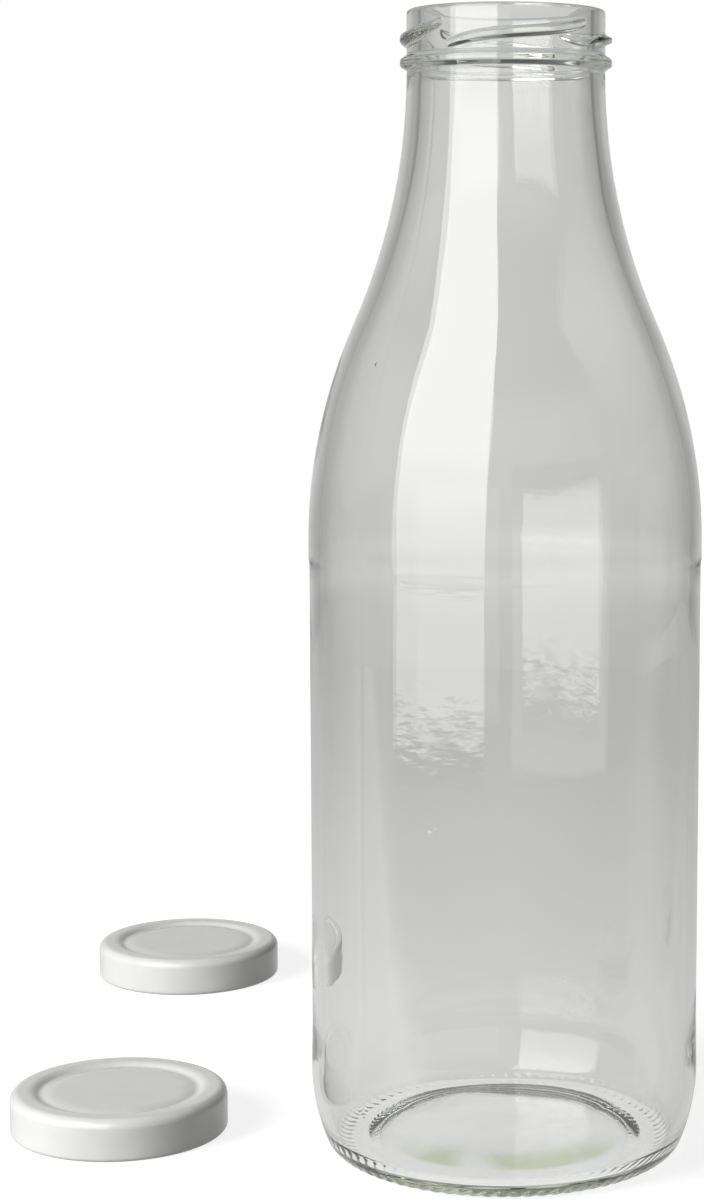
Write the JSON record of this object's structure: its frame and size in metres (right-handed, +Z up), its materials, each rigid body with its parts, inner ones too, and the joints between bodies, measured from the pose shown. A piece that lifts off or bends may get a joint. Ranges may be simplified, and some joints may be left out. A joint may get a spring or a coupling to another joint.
{
  "type": "glass milk bottle",
  "caption": "Clear glass bottle with a straight round body, an S-shaped shoulder and a wide twist-off mouth for milk or juice, with loose pressed-metal lids lying beside it.",
  "frame": {"origin": "middle of the bottle's base, on the plane that it stands on", "axes": "+Z up along the bottle's axis, +X to the right and +Y away as the picture is seen; the lids lie at -X"},
  "size_m": [0.161, 0.2201, 0.2585],
  "materials": {
    "clear_glass": "clear, faintly green in the thick base",
    "white_lacquer": "glossy white lacquer on tinplate",
    "seal_compound": "soft satin sealing compound"
  },
  "bodies": {
    "bottle": {"bottle": "clear_glass"},
    "rear_lid": {"rear_lid_shell": "white_lacquer", "rear_lid_seal": "seal_compound"},
    "front_lid": {"front_lid_shell": "white_lacquer", "front_lid_seal": "seal_compound"}
  },
  "joints": [
    {"name": "rear_lid_lift", "type": "slide", "parent": "bottle", "child": "rear_lid", "axis": [0, 0, 1], "range_m": [0, 0.262]},
    {"name": "front_lid_lift", "type": "slide", "parent": "bottle", "child": "front_lid", "axis": [0, 0, 1], "range_m": [0, 0.262]}
  ]
}
